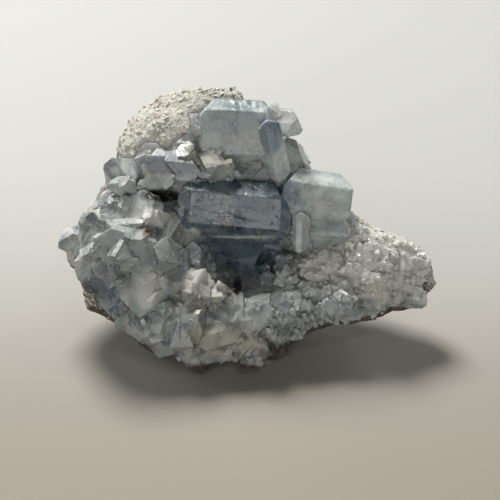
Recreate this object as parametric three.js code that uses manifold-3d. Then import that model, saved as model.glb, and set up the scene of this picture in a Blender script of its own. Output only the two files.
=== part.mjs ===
import * as THREE from "three";
import { ConvexGeometry } from "three/addons/geometries/ConvexGeometry.js";
import { mergeVertices } from "three/addons/utils/BufferGeometryUtils.js";
import Module from "manifold-3d";

// A chunk broken out of a celestite geode. A wall of dull host rock backs it,
// a crust of grown-together crystals lines its shallow hollow, and a few large
// crystals stand clear of that crust. Sizes are millimetres.
//
// The chunk is described in a face frame: u runs to the right, v up along the
// broken face, w straight out of it. The group at the end leans that face back
// so that the chunk stands on a small flat spot under the rock.

const FACE_WIDTH = 110; // tip to tip
const FACE_HEIGHT = 82;
const LEAN = 35; // degrees that the face leans back from upright
const BASE_DROP = 33.6; // from the face's centre straight down to the flat spot
const BASE_SHIFT = { x: 7.3, y: 1.7 }; // the face's centre, seen from the flat spot's centre
const GAP = 0.35; // between pieces that touch
const CRUST_CLEARANCE = 1.2; // from the crust down to the surface the chunk stands on
const CRUST_DEPTH = 3.4; // how far the crystal crust is rooted below its surface

// The outline of the rock, clockwise from the left tip, as shares of the face's
// width and height measured from its centre.
const ROCK_OUTLINE = [
  [-0.497, -0.04], [-0.46, 0.008], [-0.424, 0.062], [-0.388, 0.14],
  [-0.355, 0.212], [-0.347, 0.285], [-0.323, 0.36], [-0.276, 0.428],
  [-0.218, 0.476], [-0.151, 0.503], [-0.086, 0.497], [-0.024, 0.5],
  [-0.003, 0.462], [0.03, 0.42], [0.066, 0.375], [0.098, 0.3],
  [0.126, 0.225], [0.162, 0.17], [0.205, 0.125], [0.245, 0.085],
  [0.284, 0.05], [0.315, 0.024], [0.347, 0.006], [0.384, -0.014],
  [0.42, -0.026], [0.448, -0.06], [0.478, -0.084], [0.488, -0.126],
  [0.501, -0.17], [0.495, -0.213], [0.474, -0.25], [0.44, -0.277],
  [0.374, -0.307], [0.333, -0.323], [0.306, -0.344], [0.278, -0.348],
  [0.246, -0.335], [0.182, -0.363], [0.128, -0.408], [0.092, -0.463],
  [0.058, -0.494], [0.0, -0.483], [-0.088, -0.495], [-0.177, -0.461],
  [-0.254, -0.439], [-0.302, -0.397], [-0.354, -0.334], [-0.414, -0.293],
  [-0.437, -0.256], [-0.436, -0.2], [-0.464, -0.147], [-0.491, -0.086],
];
const OUTLINE_POINTS = 52;
const CENTRE = { u: -2, v: -4 };

// Swells and hollows of the crystal face: centre, radii and height of each.
const FACE_RELIEF = [
  { name: "left mound", u: -27, v: -9, ru: 14, rv: 14, h: 9 },
  { name: "left shoulder", u: -40, v: -6, ru: 10, rv: 10, h: 4 },
  { name: "lower swell", u: -9, v: -27, ru: 24, rv: 10, h: 9 },
  { name: "lower right swell", u: 17, v: -21, ru: 14, rv: 7, h: 6 },
  { name: "hollow", u: 3, v: -7, ru: 11, rv: 8, h: -17 },
  { name: "hollow throat", u: -3, v: -15, ru: 6, rv: 5, h: -5 },
  { name: "upper left crest", u: -24, v: 27, ru: 13, rv: 9, h: 5 },
  { name: "crevice", u: -25, v: 9.5, ru: 6, rv: 2.6, h: -9 },
  { name: "ledge under the crest", u: -14, v: 16, ru: 12, rv: 5, h: 2.5 },
  { name: "right bench", u: 18, v: 4, ru: 9, rv: 9, h: -3 },
  { name: "right tail", u: 38, v: -12, ru: 14, rv: 8, h: 4 },
];

// How thick the rock is behind the face.
const ROCK_BULK = [
  { name: "body", u: -5, v: -11, ru: 25, rv: 25, h: 19 },
  { name: "left wing", u: -34, v: -4, ru: 16, rv: 18, h: 8 },
  { name: "head", u: -16, v: 26, ru: 18, rv: 16, h: 10 },
  { name: "tail", u: 38, v: -13, ru: 18, rv: 12, h: 3 },
];
const THINNEST = 10;
const RIM_ROLL = 4; // how far the face rolls back at the rim
const PUSH_ROUNDS = 30; // how often each corner is pushed when a skin is grown

const COLOURS = {
  host_rock: { color: 0x6b6459, roughness: 0.95 },
  crystal_crust: { color: 0x9aa7ab, roughness: 0.35, flatShading: true },
  blue_crystal: { color: 0x7d929d, roughness: 0.12, flatShading: true },
  clear_crystal: { color: 0xc6d0d0, roughness: 0.06, flatShading: true },
};

const wasm = await Module();
wasm.setup();

// A repeatable stream of numbers between 0 and 1.
function randomStream(seed) {
  let state = seed;
  return () => {
    state = (state + 0x6d2b79f5) | 0;
    let t = Math.imul(state ^ (state >>> 15), 1 | state);
    t = (t + Math.imul(t ^ (t >>> 7), 61 | t)) ^ t;
    return ((t ^ (t >>> 14)) >>> 0) / 4294967296;
  };
}

// Smooth noise between -1 and 1: random values on a unit lattice, eased between.
function noise(x, y, z) {
  const ease = (t) => t * t * (3 - 2 * t);
  const value = (i, j, k) => {
    const mixed = Math.sin(i * 127.1 + j * 311.7 + k * 74.7) * 43758.5453;
    return 2 * (mixed - Math.floor(mixed)) - 1;
  };
  const [i, j, k] = [x, y, z].map(Math.floor);
  const [a, b, c] = [ease(x - i), ease(y - j), ease(z - k)];
  const { lerp } = THREE.MathUtils;
  const row = (dj, dk) => lerp(value(i, j + dj, k + dk), value(i + 1, j + dj, k + dk), a);
  return lerp(lerp(row(0, 0), row(1, 0), b), lerp(row(0, 1), row(1, 1), b), c);
}

// The summed height of a list of swells at (u, v).
function heightOf(swells, u, v) {
  return swells.reduce((sum, s) => {
    const away = ((u - s.u) / s.ru) ** 2 + ((v - s.v) / s.rv) ** 2;
    return sum + s.h * Math.exp(-away);
  }, 0);
}

// The outline as evenly spaced points, closed.
const rockOutline = new THREE.CatmullRomCurve3(
  ROCK_OUTLINE.map(([x, y]) => new THREE.Vector3(x * FACE_WIDTH, y * FACE_HEIGHT, 0)),
  true,
).getSpacedPoints(OUTLINE_POINTS).slice(0, OUTLINE_POINTS);

// The crystal face at (u, v), where share runs from 0 at the centre to 1 at the rim.
function faceHeight(u, v, share) {
  const fade = 1 - share ** 8;
  const bumps = 0.9 * noise(u / 6, v / 6, 3) + 0.5 * noise(u / 2.5, v / 2.5, 9);
  return (heightOf(FACE_RELIEF, u, v) + bumps) * fade - RIM_ROLL * share ** 10;
}

// Rounded lumps packed side by side: 1 at the middle of each, 0 in the seams.
function nodules(u, v, size) {
  let nearest = Infinity;
  for (let i = Math.floor(u / size) - 1; i <= Math.floor(u / size) + 1; i += 1) {
    for (let j = Math.floor(v / size) - 1; j <= Math.floor(v / size) + 1; j += 1) {
      const shift = [0.4 * noise(i + 0.5, j + 0.5, 51), 0.4 * noise(i + 0.5, j + 0.5, 77)];
      const away = Math.hypot(u / size - i - 0.5 - shift[0], v / size - j - 0.5 - shift[1]);
      nearest = Math.min(nearest, away);
    }
  }
  return Math.sqrt(Math.max(0, 1 - nearest ** 2 / 0.7));
}

// The back of the rock: a dome that starts steeply at the rim, with the lumps
// and dents of a nodule's outside.
function backHeight(u, v, share) {
  const depth = THINNEST + heightOf(ROCK_BULK, u, v);
  const lumps = 3.2 * nodules(u, v, 13) + 1.6 * noise(u / 5, v / 5, 33) - 1.6;
  const dome = Math.sqrt(1 - share ** 3.2);
  return -RIM_ROLL - (depth + lumps) * dome;
}

// A closed skin between a front and a back height, over an outline that is
// shrunk towards the centre ring by ring.
function lensGeometry(outline, frontOf, backOf, frontShares, backShares) {
  const positions = [];
  const faces = [];
  const count = outline.length;
  const addRing = (share, heightAt) => {
    const start = positions.length / 3;
    for (const point of outline) {
      const u = CENTRE.u + (point.x - CENTRE.u) * share;
      const v = CENTRE.v + (point.y - CENTRE.v) * share;
      positions.push(u, v, heightAt(u, v, share));
    }
    return start;
  };
  const join = (from, to) => {
    for (let i = 0; i < count; i += 1) {
      const next = (i + 1) % count;
      faces.push(from + i, from + next, to + i);
      faces.push(from + next, to + next, to + i);
    }
  };
  const addPole = (heightAt) => {
    positions.push(CENTRE.u, CENTRE.v, heightAt(CENTRE.u, CENTRE.v, 0));
    return positions.length / 3 - 1;
  };
  // The outline runs clockwise seen from the front, so the front is joined from
  // its pole outwards and the back from the rim inwards.
  const front = frontShares.map((share) => addRing(share, frontOf));
  const frontPole = addPole(frontOf);
  const rim = front[front.length - 1];
  const back = backShares.map((share) => addRing(share, backOf));
  const backPole = addPole(backOf);
  for (let i = 0; i < count; i += 1) {
    faces.push(frontPole, front[0] + ((i + 1) % count), front[0] + i);
  }
  front.slice(1).forEach((ring, i) => join(front[i], ring));
  join(rim, back[0]);
  back.slice(1).forEach((ring, i) => join(back[i], ring));
  const last = back[back.length - 1];
  for (let i = 0; i < count; i += 1) {
    faces.push(backPole, last + i, last + ((i + 1) % count));
  }
  const geometry = new THREE.BufferGeometry();
  geometry.setAttribute("position", new THREE.Float32BufferAttribute(positions, 3));
  geometry.setIndex(faces);
  return geometry;
}

function toSolid(geometry) {
  const bare = geometry.clone();
  bare.deleteAttribute("normal");
  bare.deleteAttribute("uv");
  const merged = mergeVertices(bare, 1e-4);
  return new wasm.Manifold(
    new wasm.Mesh({
      numProp: 3,
      vertProperties: new Float32Array(merged.attributes.position.array),
      triVerts: new Uint32Array(merged.index.array),
    }),
  );
}

function toGeometry(solid) {
  const mesh = solid.getMesh();
  const geometry = new THREE.BufferGeometry();
  geometry.setAttribute("position", new THREE.BufferAttribute(mesh.vertProperties, 3));
  geometry.setIndex(new THREE.BufferAttribute(mesh.triVerts, 1));
  geometry.computeVertexNormals();
  return geometry;
}

// The same skin with every face moved outwards by at least a distance. Each corner
// is pushed off the faces that meet there, in turn, until it clears them all.
function grownGeometry(geometry, distance) {
  const { position } = geometry.attributes;
  const corners = geometry.index.array;
  const meeting = Array.from({ length: position.count }, () => []);
  for (let i = 0; i < corners.length; i += 3) {
    const face = new THREE.Triangle();
    face.setFromAttributeAndIndices(position, ...corners.slice(i, i + 3));
    const normal = face.getNormal(new THREE.Vector3());
    corners.slice(i, i + 3).forEach((corner) => meeting[corner].push(normal));
  }
  const grown = geometry.clone();
  meeting.forEach((normals, i) => {
    const way = new THREE.Vector3();
    for (let round = 0; round < PUSH_ROUNDS; round += 1) {
      for (const normal of normals) {
        way.addScaledVector(normal, Math.max(0, distance - normal.dot(way)));
      }
    }
    way.add(new THREE.Vector3().fromBufferAttribute(position, i));
    grown.attributes.position.setXYZ(i, ...way);
  });
  return grown;
}

const largestBody = (solid) =>
  solid.decompose().sort((a, b) => b.volume() - a.volume())[0];

// Everything below the surface that the chunk stands on, in the face frame.
function belowFloor(clearance) {
  const side = 4 * FACE_WIDTH;
  const block = new THREE.BoxGeometry(side, side, side);
  block.translate(0, 0, -side / 2 - BASE_DROP + clearance);
  block.rotateX(THREE.MathUtils.degToRad(LEAN - 90));
  return toSolid(block);
}

// Celestite is orthorhombic. The directions of its faces follow from the edges
// of its cell and the Miller indices of each form, so every crystal here has
// the true angles, and only the distances of its faces vary.
const CELL = { a: 8.36, b: 5.35, c: 6.87 };
const FORMS = {
  broad: [0, 0, 1],
  dome: [0, 1, 1],
  prism: [2, 1, 0],
  bevel: [1, 0, 2],
  end: [1, 0, 0],
  side: [0, 1, 0],
};

function formNormals([h, k, l]) {
  const signs = (index) => (index ? [1, -1] : [1]);
  return signs(h).flatMap((p) =>
    signs(k).flatMap((q) =>
      signs(l).map((r) =>
        new THREE.Vector3((p * h) / CELL.a, (q * k) / CELL.b, (r * l) / CELL.c).normalize(),
      ),
    ),
  );
}

// The faces of one crystal as planes. Length runs along its a axis, width along
// b, thickness along c. blunt cuts its points off square, as a share of length.
// A plain crystal has only the three commonest forms.
function crystalPlanes({ length, width, thickness, blunt = 0.86, plain = false }, random) {
  const domeTilt = Math.atan(CELL.c / CELL.b);
  const prismTilt = Math.atan(CELL.a / (2 * CELL.b));
  const bevelTilt = Math.atan(CELL.c / (2 * CELL.a));
  const distances = {
    broad: thickness / 2,
    dome: (width / 2) * Math.sin(domeTilt) * 1.12,
    prism: (length / 2) * Math.cos(prismTilt),
  };
  if (!plain) {
    distances.end = (length / 2) * blunt;
    distances.side = width / 2;
    distances.bevel =
      0.72 * (length / 2) * Math.sin(bevelTilt) + (thickness / 2) * Math.cos(bevelTilt);
  }
  return Object.entries(distances).flatMap(([form, distance]) =>
    formNormals(FORMS[form]).map((normal) => ({
      normal,
      distance: distance * (0.9 + 0.2 * random()),
    })),
  );
}

// A convex solid from its face planes: every corner is where three of them meet.
function convexGeometry(planes) {
  const corners = [];
  const direction = new THREE.Vector3();
  planes.forEach((p, i) => {
    planes.slice(i + 1).forEach((q, j) => {
      planes.slice(i + j + 2).forEach((r) => {
        const across = direction.crossVectors(q.normal, r.normal);
        const volume = p.normal.dot(across);
        if (Math.abs(volume) < 1e-4) return;
        const corner = across.clone().multiplyScalar(p.distance)
          .add(new THREE.Vector3().crossVectors(r.normal, p.normal).multiplyScalar(q.distance))
          .add(new THREE.Vector3().crossVectors(p.normal, q.normal).multiplyScalar(r.distance))
          .divideScalar(volume);
        if (planes.every((s) => s.normal.dot(corner) < s.distance + 1e-5)) corners.push(corner);
      });
    });
  });
  return new ConvexGeometry(corners);
}

// A crystal set at a place, its long axis and broad face turned as given.
function crystalSolid(spec, random, grow = 0) {
  const planes = crystalPlanes(spec, random).map(({ normal, distance }) => ({
    normal,
    distance: distance + grow,
  }));
  const long = new THREE.Vector3(...spec.long).normalize();
  const across = new THREE.Vector3().crossVectors(new THREE.Vector3(...spec.broad), long).normalize();
  const broad = new THREE.Vector3().crossVectors(long, across);
  const place = new THREE.Matrix4().makeBasis(long, across, broad).setPosition(...spec.at);
  return toSolid(convexGeometry(planes).applyMatrix4(place));
}

// The large crystals that stand clear of the crust. The first in the list grew
// first: each later one stops short of those before it.
const LARGE_CRYSTALS = {
  centre_crystal: [
    { at: [-4, 5.7, -1], length: 38, width: 17.6, thickness: 15, blunt: 0.86, long: [0.99, -0.09, 0.02], broad: [0.02, -0.1, 1] },
  ],
  upper_crystal: [
    { at: [-3.4, 27.6, -1], length: 29, width: 18.6, thickness: 12, blunt: 0.66, long: [1, -0.04, -0.05], broad: [0, -0.12, 1] },
  ],
  right_crystal: [
    { at: [19.8, 8.4, -0.5], length: 23.5, width: 14.8, thickness: 13, blunt: 0.78, long: [0.99, -0.14, -0.1], broad: [0.15, 0.02, 1] },
  ],
  lower_right_crystal: [
    { at: [23.2, -0.6, 0.5], length: 14, width: 8, thickness: 11, long: [1, -0.08, -0.1], broad: [0.1, -0.25, 1] },
  ],
  clear_tip_crystal: [
    { at: [7.2, 30.9, 1.5], length: 9, width: 7, thickness: 8.5, long: [0.1, 1, 0.3], broad: [-0.2, 0, 1] },
    { at: [10.3, 30.2, 0.5], length: 10.5, width: 8.6, thickness: 8, blunt: 1.1, long: [0.93, -0.12, 0.3], broad: [-0.1, 0.4, 1] },
  ],
  pillar_crystal: [
    { at: [8, 22, 3], length: 18, width: 5.8, thickness: 6.4, blunt: 0.95, long: [-0.24, 0.96, 0.25], broad: [0.1, -0.25, 1] },
  ],
  standing_prism: [
    { at: [15.4, -1.4, 4.6], length: 12.4, width: 5.4, thickness: 5.4, blunt: 0.98, long: [0.02, 0.97, 0.3], broad: [-0.3, -0.3, 1] },
  ],
};

const CLEAR_CRYSTALS = ["clear_tip_crystal", "standing_prism"];

// Crystals of the crust that are large enough to be placed one by one. Each is set at
// (u, v) with its middle this far out from the face, which buries most of it.
const CRUST_LANDMARKS = [
  { name: "top of the left mound", at: [-32.5, 3.2, -3.4], length: 19, width: 15, thickness: 10, long: [0.9, 0.45, 0], broad: [-0.1, 0.4, 1] },
  { name: "face of the left mound", at: [-33, -5.6, -3.2], length: 21, width: 15, thickness: 11, long: [0.95, -0.3, 0], broad: [-0.1, 0.02, 1] },
  { name: "left blade", at: [-29, -16.8, -2], length: 18, width: 13, thickness: 10, long: [0.12, 1, -0.1], broad: [-0.1, -0.14, 1] },
  { name: "blade beside it", at: [-21.6, -12.4, -2.8], length: 16, width: 12, thickness: 9, long: [-0.05, 1, -0.2], broad: [0.4, -0.1, 1] },
  { name: "left shoulder", at: [-40.5, -8, -2.8], length: 14, width: 11, thickness: 9, long: [0.5, -0.8, 0.1], broad: [-0.5, 0, 1] },
  { name: "left edge", at: [-45.4, -9.6, -3.2], length: 11, width: 9, thickness: 7, long: [0.45, -0.9, 0], broad: [-0.5, -0.1, 1] },
  { name: "lower left edge", at: [-38.6, -18, -3], length: 14, width: 11, thickness: 9, long: [0.6, -0.8, 0.1], broad: [-0.4, -0.3, 1] },
  { name: "lower left corner", at: [-32, -26, -2.8], length: 12, width: 10, thickness: 8, long: [0.8, -0.5, 0], broad: [-0.3, -0.5, 1] },
  { name: "bright mound", at: [-26.4, 1.8, -1.6], length: 9, width: 7.5, thickness: 7, long: [0.7, 0.6, 0.4], broad: [-0.2, 0.5, 1] },
  { name: "upper left slope", at: [-37, 8.4, -2.6], length: 12, width: 9, thickness: 8, long: [0.85, 0.55, 0], broad: [-0.25, 0.45, 1] },
  { name: "above the slope", at: [-32, 16.6, -2.4], length: 11, width: 9, thickness: 7, long: [0.7, 0.7, 0.1], broad: [-0.4, 0.1, 1] },
  { name: "blue facet under the crest", at: [-21.6, 18, -2.2], length: 18, width: 11, thickness: 9, long: [1, -0.08, 0.05], broad: [0, -0.3, 1] },
  { name: "rounded crystal over the crevice", at: [-25, 13.8, -0.6], length: 10, width: 8, thickness: 7, long: [0.9, 0.2, 0.3], broad: [0.1, -0.3, 1] },
  { name: "ledge crystal", at: [-9.6, 17.4, -1.4], length: 9, width: 7, thickness: 6, long: [0.9, 0.3, 0.2], broad: [0, -0.3, 1] },
  { name: "ledge crystal", at: [1.6, 17.6, -1.6], length: 8, width: 6, thickness: 6, long: [0.6, 0.7, 0.4], broad: [0.2, -0.4, 1] },
  { name: "side crystal", at: [12.4, 19.2, -1.8], length: 15, width: 10, thickness: 9, long: [-0.35, 0.95, 0.1], broad: [0.4, 0.1, 1] },
  { name: "arched crystal", at: [-15.4, -17.4, -1.8], length: 13, width: 11, thickness: 9, long: [0.75, -0.6, 0.1], broad: [0.15, -0.05, 1] },
  { name: "hollow wall", at: [-1.5, -7.5, -1.6], length: 16, width: 13, thickness: 9, long: [1, 0.2, 0], broad: [0.25, 0.5, 1] },
  { name: "hollow wall", at: [8, -7.5, -1.6], length: 13, width: 10, thickness: 8, long: [0.4, 0.9, 0], broad: [-0.6, 0.4, 1] },
  { name: "lower blade", at: [-24.4, -26.6, -2], length: 13, width: 10, thickness: 8, long: [0.3, 0.9, 0.1], broad: [-0.2, -0.45, 1] },
  { name: "lower swell", at: [-16.4, -26.2, -2], length: 14, width: 11, thickness: 8, long: [0.3, 1, 0], broad: [0.15, -0.35, 1] },
  { name: "lower swell", at: [-7.6, -30, -2.2], length: 13, width: 10, thickness: 8, long: [0.9, 0.3, 0], broad: [0, -0.4, 1] },
  { name: "lower edge", at: [-15, -34, -2], length: 11, width: 9, thickness: 7, long: [0.95, 0.2, 0], broad: [-0.1, -0.7, 1] },
  { name: "lip of the hollow", at: [-5, -22.6, -1.8], length: 12, width: 10, thickness: 8, long: [0.8, -0.5, 0.2], broad: [-0.1, 0.15, 1] },
  { name: "lip of the hollow", at: [3.6, -24.6, -2], length: 12, width: 10, thickness: 8, long: [0.5, 0.8, 0.3], broad: [0.2, 0.1, 1] },
  { name: "below the lip", at: [1.6, -32.6, -2], length: 12, width: 10, thickness: 8, long: [0.9, -0.3, 0], broad: [0.1, -0.5, 1] },
  { name: "glassy crystal", at: [12.6, -11, 0.6], length: 10, width: 6.5, thickness: 6, long: [0.95, -0.3, 0.3], broad: [0, 0.3, 1] },
  { name: "right bench", at: [21, -11.6, -2], length: 12, width: 10, thickness: 8, long: [0.9, 0.4, 0.1], broad: [-0.1, 0.2, 1] },
  { name: "right bench", at: [24.6, -21.4, -2.2], length: 12, width: 9, thickness: 7, long: [0.95, 0.3, 0], broad: [0, -0.2, 1] },
  { name: "tail face", at: [35, -9.4, -2.4], length: 14, width: 11, thickness: 8, long: [0.8, 0.4, 0.1], broad: [0.1, 0.1, 1] },
];

const CRUST_SPACING = 9.6; // between the scattered crystals of the crust
const CRUST_SIZES = { least: 7, most: 12 };
const CRUST_TILT = 1.3; // how far they lean, as a slope
const CRUST_ROOT = 0.22; // the share of its length that a crystal's middle lies below the face
const CRUST_EDGE = 0.93; // their furthest way out towards the rim

// Where no scattered crystal grows: the open hollow, the sharp left tip, the dark crevice
// and the ledge under the upper crystal.
const BARE_PLACES = [
  { u: 1, v: -4, reach: 11 },
  { u: -49, v: -3, reach: 7 },
  { u: -24, v: 8.5, reach: 6 },
  { u: 4, v: 17, reach: 8 },
];

// Crystals that fill the crust between the landmarks, leaning out of the face.
function scatteredCrystals(random) {
  const found = [];
  const tilt = () => (random() - 0.5) * CRUST_TILT;
  for (let v = -FACE_HEIGHT / 2; v < FACE_HEIGHT / 2; v += CRUST_SPACING * 0.87) {
    for (let u = -FACE_WIDTH / 2; u < FACE_WIDTH / 2; u += CRUST_SPACING) {
      const at = [
        u + (random() - 0.5) * CRUST_SPACING * 0.8,
        v + (random() - 0.5) * CRUST_SPACING * 0.8,
      ];
      const length = THREE.MathUtils.lerp(CRUST_SIZES.least, CRUST_SIZES.most, random() ** 1.6);
      const turn = [tilt(), tilt()];
      const spin = [tilt(), tilt()];
      const share = shareOf(...at);
      const bare = BARE_PLACES.some((p) => Math.hypot(at[0] - p.u, at[1] - p.v) < p.reach);
      if (bare || share > CRUST_EDGE || pastWallLine(...at) > 0) continue;
      found.push({
        at: [...at, faceHeight(...at, share) - CRUST_ROOT * length],
        length,
        width: length * (0.5 + 0.25 * random()),
        thickness: length * (0.45 + 0.25 * random()),
        plain: true,
        long: [turn[0], turn[1], 1],
        broad: [1, spin[0], spin[1]],
      });
    }
  }
  return found;
}

// How far out (u, v) lies on the way from the centre to the rim.
function shareOf(u, v) {
  const angle = Math.atan2(v - CENTRE.v, u - CENTRE.u);
  const nearest = rockOutline.reduce((best, point) => {
    const turned = Math.atan2(point.y - CENTRE.v, point.x - CENTRE.u) - angle;
    const off = Math.abs(Math.atan2(Math.sin(turned), Math.cos(turned)));
    return off < best.off ? { off, point } : best;
  }, { off: Infinity });
  const reach = Math.hypot(nearest.point.x - CENTRE.u, nearest.point.y - CENTRE.v);
  return Math.hypot(u - CENTRE.u, v - CENTRE.v) / reach;
}

// The upper left rim is bare, pale, fine-grained wall with no crystals on it.
// This is how far (u, v) lies past the sloping line where that wall begins.
const WALL_LINE = { u: -38, v: 16, slope: 0.554 };
const pastWallLine = (u, v) => v - WALL_LINE.v - (u - WALL_LINE.u) * WALL_LINE.slope;

// The rock's face gives way to the crust, except at the rim and on the bare wall.
function rockFront(u, v, share) {
  const atRim = THREE.MathUtils.smoothstep(0.95 - share, 0, 0.06);
  const offWall = THREE.MathUtils.smoothstep(-pastWallLine(u, v), 0, 2.5);
  return faceHeight(u, v, share) - (CRUST_DEPTH + GAP) * atRim * offWall;
}

const FRONT_SHARES = [0.2, 0.4, 0.58, 0.73, 0.85, 0.94, 1];
const BACK_SHARES = [0.985, 0.94, 0.87, 0.78, 0.68, 0.56, 0.43, 0.29, 0.15];
const CRUST_SHARES = [0.22, 0.44, 0.62, 0.77, 0.88, 0.96];

const rockSkin = lensGeometry(rockOutline, rockFront, backHeight, FRONT_SHARES, BACK_SHARES);
const grownRock = toSolid(grownGeometry(rockSkin, GAP));
const hostRock = largestBody(toSolid(rockSkin).subtract(belowFloor(0)));

function largeCrystalSolids() {
  const taken = [];
  return Object.entries(LARGE_CRYSTALS).map(([name, parts], i) => {
    const joined = (grow) => {
      const random = randomStream(100 + i);
      return parts.map((part) => crystalSolid(part, random, grow)).reduce((a, b) => a.add(b));
    };
    const trimmed = taken.reduce((solid, other) => solid.subtract(other), joined(0));
    taken.push(joined(GAP));
    return { name, solid: largestBody(trimmed.subtract(grownRock)), grown: joined(GAP) };
  });
}

function crustSolid() {
  const random = randomStream(7);
  const bed = toSolid(
    lensGeometry(
      rockOutline,
      faceHeight,
      (u, v, share) => faceHeight(u, v, share) - 2 * CRUST_DEPTH,
      CRUST_SHARES,
      [...CRUST_SHARES].reverse().slice(1),
    ),
  );
  const landmarks = CRUST_LANDMARKS.map(({ at: [u, v, out], ...shape }) => ({
    ...shape,
    plain: true,
    at: [u, v, faceHeight(u, v, shareOf(u, v)) + out],
  }));
  const crystals = [...landmarks, ...scatteredCrystals(random)];
  const grown = crystals.reduce((sum, spec) => sum.add(crystalSolid(spec, random)), bed);
  const rooted = grown.subtract(grownRock).subtract(belowFloor(CRUST_CLEARANCE));
  const clear = largeCrystals.reduce((solid, large) => solid.subtract(large.grown), rooted);
  return largestBody(clear);
}

function namedMesh(name, solid, look) {
  const mesh = new THREE.Mesh(toGeometry(solid), new THREE.MeshStandardMaterial(look));
  mesh.name = name;
  return mesh;
}

const face = new THREE.Group();
const largeCrystals = largeCrystalSolids();
face.add(namedMesh("host_rock", hostRock, COLOURS.host_rock));
face.add(namedMesh("crystal_crust", crustSolid(), COLOURS.crystal_crust));
for (const { name, solid } of largeCrystals) {
  const look = CLEAR_CRYSTALS.includes(name) ? COLOURS.clear_crystal : COLOURS.blue_crystal;
  face.add(namedMesh(name, solid, look));
}
face.rotation.x = THREE.MathUtils.degToRad(90 - LEAN);
face.position.set(BASE_SHIFT.x, BASE_SHIFT.y, BASE_DROP);

const geode = new THREE.Group();
geode.add(face);

export default geode;
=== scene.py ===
import math
import random
from itertools import combinations, product

import bmesh
import bpy
from mathutils import Matrix, Vector, noise
from mathutils.bvhtree import BVHTree


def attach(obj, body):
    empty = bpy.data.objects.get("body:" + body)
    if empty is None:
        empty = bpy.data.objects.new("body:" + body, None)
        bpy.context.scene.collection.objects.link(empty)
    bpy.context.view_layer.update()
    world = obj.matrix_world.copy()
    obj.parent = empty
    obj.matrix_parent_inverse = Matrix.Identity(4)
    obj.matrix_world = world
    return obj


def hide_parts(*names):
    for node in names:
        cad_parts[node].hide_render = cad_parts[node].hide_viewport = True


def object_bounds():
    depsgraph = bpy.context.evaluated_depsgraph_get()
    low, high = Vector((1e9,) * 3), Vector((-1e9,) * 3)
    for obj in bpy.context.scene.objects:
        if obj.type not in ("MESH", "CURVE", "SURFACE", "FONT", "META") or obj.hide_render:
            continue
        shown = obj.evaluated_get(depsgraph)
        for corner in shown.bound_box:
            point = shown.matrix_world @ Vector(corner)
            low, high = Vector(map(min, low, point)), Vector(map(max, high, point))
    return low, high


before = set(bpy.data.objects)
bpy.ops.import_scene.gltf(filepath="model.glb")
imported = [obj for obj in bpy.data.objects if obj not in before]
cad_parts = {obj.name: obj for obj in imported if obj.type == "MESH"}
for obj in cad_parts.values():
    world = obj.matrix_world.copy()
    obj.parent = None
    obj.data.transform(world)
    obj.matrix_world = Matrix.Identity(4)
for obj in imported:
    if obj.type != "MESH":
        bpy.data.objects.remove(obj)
cad_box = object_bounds()


# The chunk's face frame
# The broken face leans back. U runs right, V up along the face and W straight out of
# it towards the viewer, in millimetres from the face's centre, for every piece below.
mm = 0.001
LEAN = math.radians(35)
FACE_CENTRE = Vector((7.3, 1.7, 33.6)) * mm
U = Vector((1, 0, 0))
V = Vector((0, math.sin(LEAN), math.cos(LEAN)))
W = Vector((0, -math.cos(LEAN), math.sin(LEAN)))


def on_face(u, v, w=0):
    return FACE_CENTRE + (U * u + V * v + W * w) * mm


def face_place(point):
    away = (point - FACE_CENTRE) / mm
    return away.dot(U), away.dot(V), away.dot(W)


# Camera
# A hand-held camera looks straight at the broken face, which leans back by as much as
# the camera looks down.
CAMERA_DISTANCE = 450  # millimetres
PICTURE_WIDTH = 143.6  # millimetres of the face that the picture's width takes in
PICTURE_CENTRE = (0.9, -6.3)
SENSOR = 36

camera_data = bpy.data.cameras.new("camera")
camera_data.sensor_width = SENSOR
camera_data.lens = SENSOR * CAMERA_DISTANCE / PICTURE_WIDTH
camera_data.clip_start = 0.01
camera = bpy.data.objects.new("camera", camera_data)
turn = Matrix((U, V, W)).transposed().to_4x4()
camera.matrix_world = Matrix.Translation(on_face(*PICTURE_CENTRE, CAMERA_DISTANCE)) @ turn
bpy.context.scene.collection.objects.link(camera)
bpy.context.scene.camera = camera


# Floor and light
# A pale table top, darker and warmer towards the viewer: the fall of the daylight is
# painted into its colour as painted shade. Daylight comes from above and behind on the left
# and more weakly from behind at both ends. A soft low light fills the front, and one small
# lamp gives the crystal faces their glints.

# Nodes are made with their settings in one call. A setting that names an input fills it,
# with a value or with the output that feeds it, and any other sets the node itself.
def add_node(tree, kind, **settings):
    made = tree.nodes.new(kind)
    for name, value in settings.items():
        label = name.replace("_", " ")
        matching = [s for s in made.inputs if s.name.lower() == label and s.enabled]
        if not matching:
            setattr(made, name, value)
        elif isinstance(value, bpy.types.NodeSocket):
            tree.links.new(value, matching[0])
        else:
            matching[0].default_value = value
    return made


def new_material(name):
    made = bpy.data.materials.new(name)
    made.use_nodes = True
    tree = made.node_tree
    return made, tree, tree.nodes["Principled BSDF"]


def feed(tree, shader, **inputs):
    for name, value in inputs.items():
        socket = next(s for s in shader.inputs if s.name.lower() == name.replace("_", " "))
        if isinstance(value, bpy.types.NodeSocket):
            tree.links.new(value, socket)
        else:
            socket.default_value = value


def colour(red, green, blue):
    """A colour given as it looks on a screen, from 0 to 255, in the renderer's own scale."""
    shares = (c / 255 for c in (red, green, blue))
    return (*(s / 12.92 if s <= 0.04045 else ((s + 0.055) / 1.055) ** 2.4 for s in shares), 1)


def tint(tree, amount, first, second, blend="MIX"):
    """The first colour where amount is 0 and the second, blended in, where it is 1."""
    made = add_node(tree, "ShaderNodeMix", data_type="RGBA", blend_type=blend)
    for index, value in ((0, amount), (6, first), (7, second)):
        if isinstance(value, bpy.types.NodeSocket):
            tree.links.new(value, made.inputs[index])
        else:
            made.inputs[index].default_value = value
    return made.outputs[2]


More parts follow.
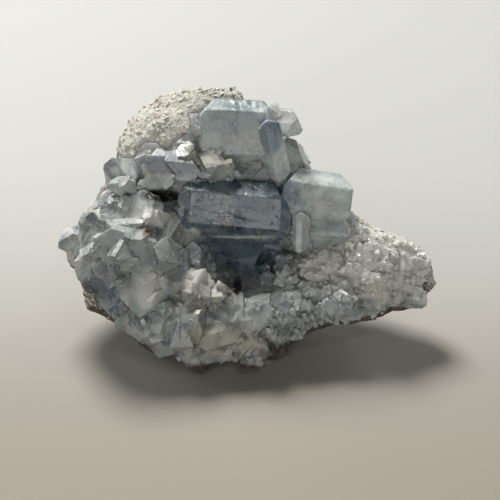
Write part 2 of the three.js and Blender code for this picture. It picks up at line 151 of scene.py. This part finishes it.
FLOOR_SIZE = 16
# The near colour is painted shade: the daylight's falloff towards the viewer, painted in.
FLOOR_FAR = colour(169, 169, 166)
FLOOR_NEAR = colour(147, 140, 127)
FLOOR_FADE = (-0.09, 0.1)  # where along Y the near colour ends and the far one begins

floor_mesh = bpy.data.meshes.new("floor")
half = FLOOR_SIZE / 2
floor_corners = [(-half, -half, 0), (half, -half, 0), (half, half, 0), (-half, half, 0)]
floor_mesh.from_pydata(floor_corners, [], [(0, 1, 2, 3)])
floor = bpy.data.objects.new("floor", floor_mesh)
bpy.context.scene.collection.objects.link(floor)
floor_finish, tree, shader = new_material("pale_table_painted_falloff")
own = add_node(tree, "ShaderNodeTexCoord").outputs["Object"]
along = add_node(tree, "ShaderNodeSeparateXYZ", vector=own)
fade = add_node(
    tree, "ShaderNodeMapRange", interpolation_type="SMOOTHSTEP", value=along.outputs["Y"],
    from_min=FLOOR_FADE[0], from_max=FLOOR_FADE[1],
)
table_top_with_painted_falloff = tint(tree, fade.outputs["Result"], FLOOR_NEAR, FLOOR_FAR)
feed(tree, shader, base_color=table_top_with_painted_falloff, roughness=0.8)
floor_mesh.materials.append(floor_finish)


def add_lamp(name, place, size, power, hue=(1, 1, 1)):
    data = bpy.data.lights.new(name, "AREA")
    data.shape = "DISK"
    data.size = size
    data.energy = power
    data.color = hue
    lamp = bpy.data.objects.new(name, data)
    lamp.location = place
    lamp.rotation_euler = (FACE_CENTRE - Vector(place)).to_track_quat("-Z", "Y").to_euler()
    bpy.context.scene.collection.objects.link(lamp)


add_lamp("window", (-0.17, 0.4, 0.64), 0.28, 8.3, (1, 0.99, 0.97))
add_lamp("doorway", (0.62, 0.42, 0.3), 0.4, 2.3)
add_lamp("second_window", (-0.64, 0.34, 0.28), 0.4, 2.1)
add_lamp("room", (-0.15, -1.0, 0.17), 0.9, 4.9)
add_lamp("glint", (0.2, -0.3, 0.6), 0.03, 0.25)

world = bpy.data.worlds.new("room_light")
world.use_nodes = True
world.node_tree.nodes["Background"].inputs["Color"].default_value = (1, 1, 1, 1)
world.node_tree.nodes["Background"].inputs["Strength"].default_value = 0.06
bpy.context.scene.world = world
bpy.context.scene.view_settings.view_transform = "Standard"


# Host rock
# The wall that the crystals grow on: a rough grey-brown nodule shell, coated along the
# upper left rim with pale, sugary, fine-grained crystal. It was broken, never worked.
ROCK_VOXEL = 0.68  # millimetres between the points of the broken skin
ROCK_ROUGHNESS = 0.55  # millimetres that the broken surface rises and falls
FLAT_SPOT_KEPT = 0.4  # millimetres above the table that stay as they are
LUMP_SIZE, GRAIN_SIZE = 7, 1.3  # millimetres across a broken lump and a grain
LUMP_SHARE, GRAIN_SHARE = 0.8, 0.7  # of the roughness that lumps and grains take
SKIRT = 3  # millimetres above the flat spot over which the roughness sets in
SUGARY_WALL = ((-24, 30), (30, 22))  # middle and reach of the pale rim on the face
PALE_LEFT_TIP = ((-50, -4), (9, 9))

# Patterns for the rock and the crystals
# A pattern reads the piece's own coordinates, turned into the face frame in millimetres,
# so that its sizes are real and its zones lie where the chunk has them.
def face_coordinates(tree):
    own = add_node(tree, "ShaderNodeTexCoord").outputs["Object"]
    turned = Matrix((U, V, W)).to_3x3()
    shift = -(turned @ FACE_CENTRE) / mm
    return add_node(
        tree, "ShaderNodeMapping", vector=own, scale=(1 / mm,) * 3,
        rotation=turned.to_euler(), location=shift,
    ).outputs["Vector"]


def grain(tree, place, size, detail=3, roughness=0.55, stretch=(1, 1, 1), warp=0.0):
    """Cloudy noise from 0 to 1 whose blobs are about size millimetres across."""
    drawn = add_node(tree, "ShaderNodeMapping", vector=place, scale=[1 / s for s in stretch])
    return add_node(
        tree, "ShaderNodeTexNoise", vector=drawn.outputs["Vector"], scale=1 / size,
        detail=detail, roughness=roughness, distortion=warp,
    ).outputs["Fac"]


def cells(tree, place, size, feature="F1"):
    """Distance from the middle of irregular cells, or from their edges."""
    made = add_node(tree, "ShaderNodeTexVoronoi", feature=feature)
    made.inputs["Scale"].default_value = 1 / size
    tree.links.new(place, made.inputs["Vector"])
    return made.outputs["Distance"]


def step(tree, value, low, high):
    """A soft step from 0 where value is low to 1 where it is high."""
    return add_node(
        tree, "ShaderNodeMapRange", interpolation_type="SMOOTHSTEP",
        value=value, from_min=low, from_max=high,
    ).outputs["Result"]


def combine(tree, operation, first, second, clamp=True):
    """One sum of two values or outputs, kept between 0 and 1 unless told otherwise."""
    made = add_node(tree, "ShaderNodeMath", operation=operation, use_clamp=clamp)
    for socket, value in zip(made.inputs, (first, second)):
        if isinstance(value, bpy.types.NodeSocket):
            tree.links.new(value, socket)
        else:
            socket.default_value = value
    return made.outputs["Value"]


RAGGED_SIZE = 3.5  # millimetres from one bay of a ragged edge to the next


def zone(tree, place, centre, reach, ragged=0.35):
    """1 inside an oval patch of the face and 0 outside it, with a ragged edge."""
    moved = add_node(
        tree, "ShaderNodeMapping", vector=place,
        location=[-c / r for c, r in zip(centre, reach)] + [0],
        scale=[1 / r for r in reach] + [0],
    ).outputs["Vector"]
    inside = add_node(tree, "ShaderNodeTexGradient", gradient_type="SPHERICAL", vector=moved)
    wander = grain(tree, place, RAGGED_SIZE, detail=4)
    shifted = add_node(tree, "ShaderNodeMath", operation="MULTIPLY_ADD")
    tree.links.new(wander, shifted.inputs[0])
    shifted.inputs[1].default_value = 2 * ragged
    tree.links.new(inside.outputs["Fac"], shifted.inputs[2])
    return step(tree, shifted.outputs["Value"], ragged + 0.1, ragged + 0.5)


# Kinds of crystal
# Celestite grows as orthorhombic blocks and blades. Each kind below is cut by the true
# directions of its faces, one unit long, standing on its a axis, with its own proportions.
CELL = (8.36, 5.35, 6.87)  # the mineral's cell edges, which set the angles of its faces
KINDS = 14
CLEAVAGE, DOME, PRISM, END = (0, 0, 1), (0, 1, 1), (2, 1, 0), (1, 0, 0)  # face indices


def face_directions(indices):
    """The directions of all the faces that the crystal's symmetry makes of one."""
    signs = [(1, -1) if index else (0,) for index in indices]
    for flips in product(*signs):
        tilts = [flip * abs(i) / edge for flip, i, edge in zip(flips, indices, CELL)]
        yield Vector(tilts).normalized()


def crystal_kind(name, draw):
    """The corners where three face planes meet inside all the others, and their hull."""
    width, thickness = draw.uniform(0.5, 0.8), draw.uniform(0.42, 0.7)
    end = draw.uniform(0.4, 0.52)
    reaches = {CLEAVAGE: thickness / 2, DOME: 0.44 * width, PRISM: 0.4, END: end}
    planes = [
        (direction, reach * draw.uniform(0.85, 1.15))
        for indices, reach in reaches.items()
        for direction in face_directions(indices)
    ]
    shape = bmesh.new()
    for (a, at_a), (b, at_b), (c, at_c) in combinations(planes, 3):
        volume = a.dot(b.cross(c))
        if abs(volume) < 1e-4:
            continue
        corner = (b.cross(c) * at_a + c.cross(a) * at_b + a.cross(b) * at_c) / volume
        if all(direction.dot(corner) < reach + 1e-5 for direction, reach in planes):
            shape.verts.new((corner.y, corner.z, corner.x))
    bmesh.ops.remove_doubles(shape, verts=shape.verts, dist=1e-4)
    bmesh.ops.convex_hull(shape, input=shape.verts)
    bmesh.ops.delete(shape, geom=[v for v in shape.verts if not v.link_faces], context="VERTS")
    bmesh.ops.recalc_face_normals(shape, faces=shape.faces)
    mesh = bpy.data.meshes.new(name)
    shape.to_mesh(mesh)
    shape.free()
    return bpy.data.objects.new(name, mesh)


kinds = bpy.data.collections.new("crystal_kinds")
draw = random.Random(5)
for number in range(KINDS):
    kinds.objects.link(crystal_kind(f"kind_{number}", draw))


# Growing crystals on a surface
# Crystals sprout at random but never closer than their spacing, tipped over by as much as
# given, and grow through each other, so their union is one solid with no walls inside.
def growth_tree():
    tree = bpy.data.node_groups.new("grow_crystals", "GeometryNodeTree")
    sockets = {
        "Bed": "NodeSocketGeometry", "Kinds": "NodeSocketCollection",
        "Spacing": "NodeSocketFloat", "Size": "NodeSocketFloat", "Spread": "NodeSocketFloat",
        "Tip": "NodeSocketFloat", "Lean": "NodeSocketFloat", "Root": "NodeSocketFloat",
        "Seed": "NodeSocketInt", "Finish": "NodeSocketMaterial",
    }
    for name, kind in sockets.items():
        tree.interface.new_socket(name, in_out="INPUT", socket_type=kind)
    tree.interface.new_socket("Crust", in_out="OUTPUT", socket_type="NodeSocketGeometry")
    given = tree.nodes.new("NodeGroupInput").outputs
    link = tree.links.new

    def worked_out(operation, first, second):
        return combine(tree, operation, first, second, clamp=False)

    area = worked_out("MULTIPLY", given["Spacing"], given["Spacing"])
    cover = add_node(tree, "GeometryNodeInputNamedAttribute", data_type="FLOAT", name="cover")
    share = add_node(tree, "GeometryNodeInputNamedAttribute", data_type="FLOAT", name="growth")
    sprouts = add_node(
        tree, "GeometryNodeDistributePointsOnFaces", distribute_method="POISSON",
        mesh=given["Bed"], distance_min=given["Spacing"],
        density_max=worked_out("DIVIDE", 2, area), density_factor=cover.outputs[0],
        seed=given["Seed"],
    )
    leaning = add_node(tree, "FunctionNodeRandomValue", data_type="FLOAT_VECTOR")
    for index, sign in ((0, -1), (1, 1)):
        lean = worked_out("MULTIPLY", given["Lean"], sign)
        tipped = worked_out("ADD", given["Tip"], lean)
        limit = add_node(tree, "ShaderNodeCombineXYZ", x=tipped, y=lean, z=math.pi * sign)
        link(limit.outputs[0], leaning.inputs[index])
    link(given["Seed"], leaning.inputs["Seed"])
    turned = add_node(tree, "FunctionNodeRotateRotation", rotation_space="LOCAL")
    link(sprouts.outputs["Rotation"], turned.inputs["Rotation"])
    link(leaning.outputs["Value"], turned.inputs["Rotate By"])

    spread = add_node(tree, "FunctionNodeRandomValue", data_type="FLOAT")
    link(worked_out("SUBTRACT", 1, given["Spread"]), spread.inputs[2])
    link(worked_out("ADD", 1, given["Spread"]), spread.inputs[3])
    grown = worked_out("MULTIPLY", spread.outputs[1], given["Size"])
    size = worked_out("MULTIPLY", grown, share.outputs[0])
    sizes = add_node(tree, "GeometryNodeCaptureAttribute", geometry=sprouts.outputs["Points"])
    sizes.capture_items.new("FLOAT", "Size")
    link(size, sizes.inputs["Size"])
    ways = add_node(tree, "GeometryNodeCaptureAttribute", geometry=sizes.outputs["Geometry"])
    ways.capture_items.new("VECTOR", "Way")
    link(sprouts.outputs["Normal"], ways.inputs["Way"])
    rooting = worked_out("MULTIPLY", sizes.outputs["Size"], given["Root"])
    deep = worked_out("MULTIPLY", rooting, -1)
    down = add_node(tree, "ShaderNodeVectorMath", operation="SCALE", scale=deep)
    link(ways.outputs["Way"], down.inputs[0])
    rooted = add_node(
        tree, "GeometryNodeSetPosition", geometry=ways.outputs["Geometry"],
        offset=down.outputs[0],
    )
    planted = add_node(
        tree, "GeometryNodeInstanceOnPoints", pick_instance=True,
        points=rooted.outputs[0], rotation=turned.outputs[0], scale=sizes.outputs["Size"],
        instance=add_node(
            tree, "GeometryNodeCollectionInfo", collection=given["Kinds"],
            separate_children=True, reset_children=True,
        ).outputs[0],
    )
    joined = add_node(tree, "GeometryNodeMeshBoolean", operation="UNION", solver="MANIFOLD")
    link(planted.outputs[0], joined.inputs["Mesh 2"])
    link(given["Bed"], joined.inputs["Mesh 2"])
    whole = add_node(tree, "GeometryNodeRealizeInstances", geometry=joined.outputs["Mesh"])
    finished = add_node(
        tree, "GeometryNodeSetMaterial", geometry=whole.outputs[0], material=given["Finish"],
    )
    link(finished.outputs[0], add_node(tree, "NodeGroupOutput").inputs["Crust"])
    return tree


grow_crystals = growth_tree()
SHELTER_REACH = 3.2  # millimetres within which a neighbour shelters a face
SHELTER_RAYS = [  # seen from a face whose normal is Z
    (-0.8, 0, 0.6), (0.8, 0, 0.6), (0, -0.8, 0.6), (0, 0.8, 0.6),
    (-0.5, -0.5, 0.7), (0.5, 0.5, 0.7), (0.5, -0.5, 0.7), (-0.5, 0.5, 0.7),
]


def mark_faces(piece, rule, rays=SHELTER_RAYS):
    """Marks on each face how thickly crystals sprout there, and how large they grow."""
    mesh = piece.data
    mesh.update()
    corners = [v.co for v in mesh.vertices]
    tree = BVHTree.FromPolygons(corners, [p.vertices for p in mesh.polygons])
    marks = []
    for face in mesh.polygons:
        spin = face.normal.to_track_quat("Z", "Y")
        start = face.center + face.normal * 0.02 * mm
        hits = [tree.ray_cast(start, spin @ Vector(ray), SHELTER_REACH * mm)[0] for ray in rays]
        shelter = sum(hit is not None for hit in hits) / max(1, len(hits))
        outwards = face.normal.dot(W)
        marks.append(rule(*face_place(face.center), outwards, shelter, face.area / mm**2))
    for name, values in zip(("cover", "growth"), zip(*marks)):
        if name in mesh.attributes:
            mesh.attributes.remove(mesh.attributes[name])
        mesh.attributes.new(name, "FLOAT", "FACE").data.foreach_set("value", values)


def with_modifiers_applied(piece):
    graph = bpy.context.evaluated_depsgraph_get()
    mesh = bpy.data.meshes.new_from_object(piece.evaluated_get(graph))
    piece.modifiers.clear()
    piece.data = mesh
    return piece


def grow(bed, finish, seed, **sizes):
    """Grows crystals over a piece. Spacing and size are millimetres, root a share of size."""
    modifier = bed.modifiers.new("growth", "NODES")
    modifier.node_group = grow_crystals
    lengths = ("Spacing", "Size")
    values = {name.capitalize(): value for name, value in sizes.items()}
    values |= {"Seed": seed, "Finish": finish, "Kinds": kinds}
    for socket in grow_crystals.interface.items_tree:
        if socket.in_out == "INPUT" and socket.name in values:
            value = values[socket.name]
            modifier[socket.identifier] = value * mm if socket.name in lengths else value
    return with_modifiers_applied(bed)


def merged_copy(node, name):
    """A node's solid as a new mesh with its loose triangles joined."""
    shape = bmesh.new()
    shape.from_mesh(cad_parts[node].data)
    bmesh.ops.remove_doubles(shape, verts=shape.verts, dist=1e-6)
    mesh = bpy.data.meshes.new(name)
    shape.to_mesh(mesh)
    shape.free()
    for attribute in [a for a in mesh.attributes if a.name == "custom_normal"]:
        mesh.attributes.remove(attribute)
    piece = bpy.data.objects.new(name, mesh)
    bpy.context.scene.collection.objects.link(piece)
    return piece


def oval(u, v, centre, reach):
    """1 in the middle of an oval patch of the face, fading to 0 at its edge and beyond."""
    away = math.hypot((u - centre[0]) / reach[0], (v - centre[1]) / reach[1])
    return max(0.0, 1 - away ** 3)


def kept_in_box(piece, low, high):
    for vertex in piece.data.vertices:
        vertex.co = Vector(max(a, min(b, c)) for a, b, c in zip(low, high, vertex.co))


# The rock's broken skin, its material and the sugar on its rim.
rock = merged_copy("host_rock", "broken_rock")
remesh = rock.modifiers.new("fine_skin", "REMESH")
remesh.mode = "VOXEL"
remesh.voxel_size = ROCK_VOXEL * mm
with_modifiers_applied(rock)

rock.data.update()
for vertex, normal in [(v, v.normal.copy()) for v in rock.data.vertices]:
    place = vertex.co / mm
    lumps = 2.2 * noise.fractal(place / LUMP_SIZE, 0.8, 2.1, 5)
    grains = 0.5 - noise.voronoi(place / GRAIN_SIZE)[0][0]
    u, v, w = face_place(vertex.co)
    calm = 1 - 0.5 * oval(u, v, *SUGARY_WALL)
    rise = min(0.5, lumps - 0.6) * LUMP_SHARE * calm + grains * GRAIN_SHARE
    fade = min(1, max(0, (place.z - FLAT_SPOT_KEPT) / SKIRT))
    vertex.co += normal * rise * ROCK_ROUGHNESS * fade * mm
rock.data.shade_flat()

ROCK_SHADE, ROCK_GRAIN = colour(48, 42, 34), colour(112, 102, 86)
ROCK_DUST = colour(104, 96, 84)
CREAM_SHADE, CREAM_GRAIN = colour(172, 168, 156), colour(206, 203, 194)
CREAM_GREY, CREAM_BROWN = colour(172, 171, 164), colour(140, 128, 104)

rock_finish, tree, shader = new_material("host_rock")
place = face_coordinates(tree)
speckle = grain(tree, place, 0.9, detail=5, roughness=0.7)
patches = grain(tree, place, 9, detail=4)
dark_rock = tint(tree, step(tree, speckle, 0.4, 0.65), ROCK_SHADE, ROCK_GRAIN)
dark_rock = tint(tree, step(tree, patches, 0.5, 0.7), dark_rock, ROCK_DUST)
cream = tint(tree, step(tree, speckle, 0.3, 0.7), CREAM_SHADE, CREAM_GRAIN)
cream = tint(tree, step(tree, patches, 0.5, 0.62), cream, CREAM_GREY)
brown = step(tree, grain(tree, place, 5, detail=5, roughness=0.65, warp=0.5), 0.56, 0.68)
cream = tint(tree, combine(tree, "MULTIPLY", brown, 0.75), cream, CREAM_BROWN)
facing = add_node(tree, "ShaderNodeTexCoord").outputs["Normal"]
upward = add_node(tree, "ShaderNodeSeparateXYZ", vector=facing)
outward = add_node(tree, "ShaderNodeVectorMath", operation="DOT_PRODUCT")
tree.links.new(facing, outward.inputs[0])
outward.inputs[1].default_value = W
rim = zone(tree, place, *SUGARY_WALL)
rim = combine(tree, "MAXIMUM", rim, step(tree, upward.outputs["Z"], 0.1, 0.45))
rim = combine(tree, "MAXIMUM", rim, zone(tree, place, *PALE_LEFT_TIP))
rim = combine(tree, "MULTIPLY", rim, step(tree, outward.outputs["Value"], -0.45, 0.0))
feed(
    tree, shader, base_color=tint(tree, rim, dark_rock, cream), roughness=0.85,
    normal=add_node(
        tree, "ShaderNodeBump", strength=0.45, distance=0.4 * mm,
        height=grain(tree, place, 0.7, detail=4, roughness=0.7),
    ).outputs["Normal"],
)
rock.data.materials.clear()
rock.data.materials.append(rock_finish)


def sugary_rim(u, v, w, outwards, shelter, area):
    """Sugar all over the pale rim, as far as it faces the front."""
    return (1.0 if oval(u, v, *SUGARY_WALL) > 0.1 and outwards > -0.2 else 0.0), 1.0


mark_faces(rock, sugary_rim, rays=())
grow(
    rock, rock_finish, seed=11, spacing=1.0, size=1.8, spread=0.5,
    tip=0.9, lean=0.9, root=0.34,
)
kept_in_box(rock, *cad_box)
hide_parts("host_rock")
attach(rock, "root")


# Celestite
# The mineral of every crystal: pale blue strontium sulphate, clear where it grew slowly
# and clouded by veils where it grew fast. Its edges and cleavage cracks bruise white.
FROST = colour(240, 238, 230)
REFRACTION = 1.62
GLOW_DEPTH = 1.6  # millimetres that light wanders below a milky surface
EDGE_WEAR = 0.16  # millimetres that an edge is rounded over
STREAK_SIZE, WISP_SIZE, VEIL_SIZE = 1.1, 2.4, 1.8  # millimetres
CRACK_SPACING, BRUISE_SIZE, SCRATCH_SIZE = 3.2, 1.1, 0.8  # millimetres


def celestite(name, deep, milky, clarity, absorbed, density, cloud_size=7, polish=0.08,
              along=(1, 4, 2), stains_and_painted_shade=(), frosted_and_painted_light=(), veiled=(), glow=0.0):
    """Pale blue crystal: clear within, clouded by veils, with edges bruised white."""
    made, tree, shader = new_material(name)
    place = face_coordinates(tree)
    clouds = grain(tree, place, cloud_size, detail=6, roughness=0.62, warp=0.8)
    clouds = step(tree, clouds, 0.4, 0.62)
    streaks = grain(tree, place, STREAK_SIZE, detail=5, roughness=0.6, stretch=along, warp=1.0)
    streaks = step(tree, streaks, 0.5, 0.66)
    wisps = grain(tree, place, WISP_SIZE, detail=7, roughness=0.7, warp=2.5)
    wisps = step(tree, wisps, 0.58, 0.68)
    cracks = step(tree, cells(tree, place, CRACK_SPACING, "DISTANCE_TO_EDGE"), 0.0, 0.05)
    cracks = combine(tree, "SUBTRACT", 1, cracks)
    cracks = combine(tree, "MULTIPLY", cracks, step(tree, grain(tree, place, 4), 0.48, 0.6))
    rounded = add_node(tree, "ShaderNodeBevel", samples=4, radius=EDGE_WEAR * mm)
    rounded = rounded.outputs["Normal"]
    facing = add_node(tree, "ShaderNodeVectorMath", operation="DOT_PRODUCT")
    tree.links.new(rounded, facing.inputs[0])
    tree.links.new(add_node(tree, "ShaderNodeNewGeometry").outputs["Normal"], facing.inputs[1])
    bruised = step(tree, facing.outputs["Value"], 0.995, 0.9)
    dotted = step(tree, grain(tree, place, BRUISE_SIZE, detail=3), 0.35, 0.6)
    bruised = combine(tree, "MULTIPLY", bruised, dotted)
    body = tint(tree, clouds, deep, milky)
    body = tint(tree, combine(tree, "MULTIPLY", streaks, 0.3), body, milky)
    # Each patch is multiplied in: real stains, and painted shade in crevices, the hollow and on
    # top bevels that face the light.
    for shade, centre, reach in stains_and_painted_shade:
        body = tint(tree, zone(tree, place, centre, reach), body, shade, blend="MULTIPLY")
    # Frosted patches, which in places also stand in for light as painted light.
    for centre, reach in frosted_and_painted_light:
        frost_and_painted_light = combine(tree, "MULTIPLY", zone(tree, place, centre, reach), 0.75)
        body = tint(tree, frost_and_painted_light, body, FROST)
    for centre, reach in veiled:
        veils = grain(tree, place, VEIL_SIZE, detail=8, roughness=0.65, warp=3.0)
        veils = step(tree, veils, 0.46, 0.62)
        veils = combine(tree, "MULTIPLY", veils, zone(tree, place, centre, reach))
        body = tint(tree, combine(tree, "MULTIPLY", veils, 0.6), body, FROST)
    body = tint(tree, combine(tree, "MULTIPLY", wisps, 0.4), body, FROST)
    body = tint(tree, combine(tree, "MULTIPLY", cracks, 0.55), body, FROST)
    body = tint(tree, combine(tree, "MULTIPLY", bruised, 0.75), body, FROST)
    rough = combine(tree, "MULTIPLY_ADD", clouds, 0.22)
    rough.node.inputs[2].default_value = polish
    scratched = add_node(
        tree, "ShaderNodeBump", strength=0.25, distance=0.12 * mm, normal=rounded,
        height=grain(tree, place, SCRATCH_SIZE, detail=4, stretch=along),
    ).outputs["Normal"]
    chipped = add_node(
        tree, "ShaderNodeBump", strength=0.5, distance=0.25 * mm, normal=scratched,
        height=combine(tree, "MAXIMUM", wisps, cracks),
    ).outputs["Normal"]
    feed(
        tree, shader, base_color=body, roughness=rough, normal=chipped, ior=REFRACTION,
        transmission_weight=clarity, subsurface_weight=glow, subsurface_radius=(1, 1, 1),
        subsurface_scale=GLOW_DEPTH * mm,
    )
    inside = add_node(tree, "ShaderNodeVolumeAbsorption", color=absorbed, density=density)
    tree.links.new(inside.outputs[0], tree.nodes["Material Output"].inputs["Volume"])
    return made


# Crystal crust
# The lining of the geode: intergrown crystals, up to 10 mm long and blocky on the left
# mound and down to sugar towards the tail. It grew on the rock, rooted all over.
BLUE, BROWN = colour(204, 212, 222), colour(112, 98, 82)
# Stains, rust and bare rock on the crust, with painted shade: the dark grey patch darkens the
# crevice, the near-black one a narrow gap, and the grey-blue one over the hollow is partly its
# own blue and partly painted shade.
CRUST_STAINS_AND_PAINTED_SHADE = [
    (colour(252, 247, 236), (44, -11), (28, 16)),
    (colour(246, 239, 226), (-11, -18), (13, 9)),
    (colour(240, 232, 218), (-6, -32), (18, 7)),
    (colour(246, 240, 228), (-8, 21), (16, 6)),
    (colour(212, 216, 215), (-28, -6), (18, 13)),
    (BLUE, (-22, 18), (12, 4)),
    (BLUE, (-42, -20), (10, 11)),
    (colour(218, 228, 232), (-27, -18), (9, 10)),
    (colour(168, 190, 206), (-1, -6.5), (17, 10)),
    (colour(70, 70, 70), (-24.5, 9.2), (8, 2.6)),
    (colour(60, 58, 56), (-2.8, -16.6), (1.8, 3.6)),
    (colour(206, 150, 96), (-28, -1.5), (1.6, 1.4)),
    (BROWN, (11, -36), (11, 4.5)),
    (BROWN, (-6, -40.5), (18, 3)),
    (BROWN, (-46, -20), (5, 6)),
    (BROWN, (33, -28.5), (6, 3)),
]
# Pale frosted patches. The ones over the tail and right of the middle also lighten crust that
# lies in shade there, as painted light.
CRUST_FROST_AND_PAINTED_LIGHT = [
    ((44, -8), (30, 18)), ((-27, -17), (7, 8)), ((-26, 3), (7, 4)),
    ((24, -9), (17, 11)), ((-13, -15), (7, 6)),
]
crust_finish = celestite(
    "crust_crystal", deep=colour(149, 155, 156), milky=colour(208, 212, 207),
    clarity=0.28, absorbed=(0.82, 0.85, 0.86, 1), density=16, polish=0.26,
    stains_and_painted_shade=CRUST_STAINS_AND_PAINTED_SHADE, frosted_and_painted_light=CRUST_FROST_AND_PAINTED_LIGHT, glow=0.6,
)
BARE_PLACES = [
    ((1, -6), (12, 9)), ((-24, 9), (8, 4.5)), ((-20, 7), (6, 7)), ((12.5, 19), (7, 9)),
    ((5, 17), (9, 6)), ((-17, 32), (8, 7)), ((-14, 12), (6, 3.5)), ((52, -23), (6, 5)),
]
FINER_FROM, FINER_TO = -12, 14  # millimetres along U over which the crystals turn finer
MOUND_END = 12  # millimetres along U up to which large open faces stay smooth
SHELTERED = 0.3  # share of the rays from a face that have to meet a neighbour


def openness(u, v):
    """1 where crystals may sprout and 0 in the hollow, the crevice and other bare places."""
    return 1 - max(oval(u, v, *place) for place in BARE_PLACES)


def finer(u):
    """0 on the blocky left mound, rising to 1 on the sugary right side."""
    return min(1, max(0, (u - FINER_FROM) / (FINER_TO - FINER_FROM)))


def blocks(u, v, w, outwards, shelter, area):
    """Blocky crystals over all but the bare places and the open tops of large crystals."""
    bare = outwards < 0.25 or openness(u, v) < 0.6 or area > 9 and shelter < SHELTERED
    return (0.0 if bare else 1.0), 1.25 - 0.55 * finer(u)


def infill(u, v, w, outwards, shelter, area):
    """Smaller crystals in the sheltered corners, and everywhere towards the right."""
    bare = outwards < -0.2 or area > 6 and shelter < SHELTERED and u < MOUND_END
    cover = (0.7 * finer(u) + 0.55 * shelter) * openness(u, v)
    return (0.0 if bare else min(1.0, cover)), 1.2 - 0.45 * finer(u)


def sugar(u, v, w, outwards, shelter, area):
    """The finest crystals, sparse on the left mound and dense towards the tail."""
    bare = outwards < -0.3 or area > 5 and u < MOUND_END
    cover = (0.65 * finer(u) + 0.3 * shelter) * openness(u, v)
    return (0.0 if bare else min(1.0, cover)), 1.0


crust = merged_copy("crystal_crust", "crystal_lining")
mark_faces(crust, blocks)
grow(
    crust, crust_finish, seed=3, spacing=3.8, size=8, spread=0.35,
    tip=math.pi / 2, lean=0.2, root=0.2,
)
mark_faces(crust, infill)
grow(
    crust, crust_finish, seed=5, spacing=2.4, size=4.4, spread=0.4,
    tip=math.pi / 2, lean=0.45, root=0.16,
)
mark_faces(crust, sugar)
grow(
    crust, crust_finish, seed=8, spacing=1.35, size=2.1, spread=0.4,
    tip=0.5, lean=0.9, root=0.14,
)
kept_in_box(crust, *cad_box)
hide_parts("crystal_crust")
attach(crust, "root")


# Large blue crystals
# Single crystals up to 34 mm long that stand clear of the crust, slate blue where thick
# and pale teal where thin. Their edges are bruised, and veils hang in them.
blue_finish = celestite(
    "blue_crystal", deep=colour(98, 115, 127), milky=colour(138, 156, 167),
    clarity=0.45, absorbed=(0.66, 0.75, 0.82, 1), density=22, cloud_size=6, polish=0.14,
    along=(5, 1, 3), frosted_and_painted_light=[((-1.6, -2.6), (13, 0.7))],
    veiled=[((-7.5, 6), (6, 9)), ((-17, 7), (4, 7))],
    stains_and_painted_shade=[
        (colour(140, 152, 168), (-4.5, 2), (6.5, 4)),
        (colour(222, 226, 230), (-16, 6), (7, 9)),
        # Painted shade: darkens the centre crystal's top bevel, where the light falls on it.
        (colour(170, 178, 186), (3, 12.6), (15, 3.4)),
    ],
)
teal_finish = celestite(
    "teal_crystal", deep=colour(192, 205, 204), milky=colour(236, 243, 240),
    clarity=0.45, absorbed=(0.84, 0.88, 0.88, 1), density=12, cloud_size=6, polish=0.26,
    veiled=[((21, 9), (12, 9)), ((-4, 23), (14, 7))],
    stains_and_painted_shade=[
        (colour(228, 234, 236), (-3.5, 30), (14, 5)),
        # Painted shade: darkens the slab's upward-facing top bevel, where the light falls on
        # it.
        (colour(182, 190, 195), (-3.5, 35.6), (18, 3)),
        (colour(172, 184, 202), (7.2, 27), (5, 8)),
        (colour(172, 184, 202), (11.2, 9), (6, 6)),
    ],
)
CRYSTAL_VOXEL = 0.24  # millimetres between the points of a crystal's skin
CHIP_ROUNDS = 8  # rounds of smoothing that wear the chipped stretches of an edge
CHIP_SIZE = 1.8  # millimetres from one chip to the next
STEP_HEIGHT = 0.045  # millimetres from one growth step to the next
STEP_WIDTH, STEPPED_PATCH = 1.6, 6  # millimetres across a step and a patch of steps
PATTERN_SHIFT = 31  # millimetres, so that no two crystals share their chips and steps
GROWN = 0.3  # millimetres that each crystal grows out to meet its neighbours


def natural_crystal(node, finish, along, seed):
    """A single crystal with chipped edges and low growth steps that run along one way."""
    crystal = merged_copy(node, node + "_grown")
    remesh = crystal.modifiers.new("fine_skin", "REMESH")
    remesh.mode = "VOXEL"
    remesh.voxel_size = CRYSTAL_VOXEL * mm
    with_modifiers_applied(crystal)
    sharp = [v.co.copy() for v in crystal.data.vertices]
    wear = crystal.modifiers.new("wear", "SMOOTH")
    wear.factor = 0.5
    wear.iterations = CHIP_ROUNDS
    with_modifiers_applied(crystal)
    along = (U * along[0] + V * along[1] + W * along[2]).normalized()
    normals = [v.normal.copy() for v in crystal.data.vertices]
    for vertex, kept, normal in zip(crystal.data.vertices, sharp, normals):
        place = kept / mm + Vector((seed * PATTERN_SHIFT, 0, 0))
        chips = noise.fractal(place / CHIP_SIZE, 0.8, 2.1, 4)
        chipped = min(1, max(0, 4 * chips - 0.6))
        squeezed = place - along * place.dot(along) * 0.9
        stepped = max(0, noise.noise(place / STEPPED_PATCH) + 0.1)
        level = round(4 * noise.noise(squeezed / STEP_WIDTH) * min(1, 3 * stepped))
        vertex.co = kept.lerp(vertex.co, chipped) + normal * (GROWN + level * STEP_HEIGHT) * mm
    kept_in_box(crystal, *cad_box)
    crystal.data.materials.clear()
    crystal.data.materials.append(finish)
    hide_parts(node)
    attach(crystal, "root")


natural_crystal("centre_crystal", blue_finish, (0.97, -0.2, 0), 1)
natural_crystal("upper_crystal", teal_finish, (0, 1, 0), 2)
natural_crystal("right_crystal", teal_finish, (0.99, -0.14, 0), 3)
natural_crystal("lower_right_crystal", teal_finish, (1, 0, 0), 4)
natural_crystal("pillar_crystal", teal_finish, (-0.24, 0.96, 0.25), 5)


# Clear crystals
# The colourless crystals at the upper right tip and the small prism beside the hollow.
clear_finish = celestite(
    "clear_crystal", deep=colour(226, 233, 232), milky=colour(243, 244, 240),
    clarity=0.68, absorbed=(0.9, 0.94, 0.94, 1), density=10, cloud_size=3, polish=0.04,
)
for node in ("standing_prism", "clear_tip_crystal"):
    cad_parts[node].data.materials.clear()
    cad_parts[node].data.materials.append(clear_finish)
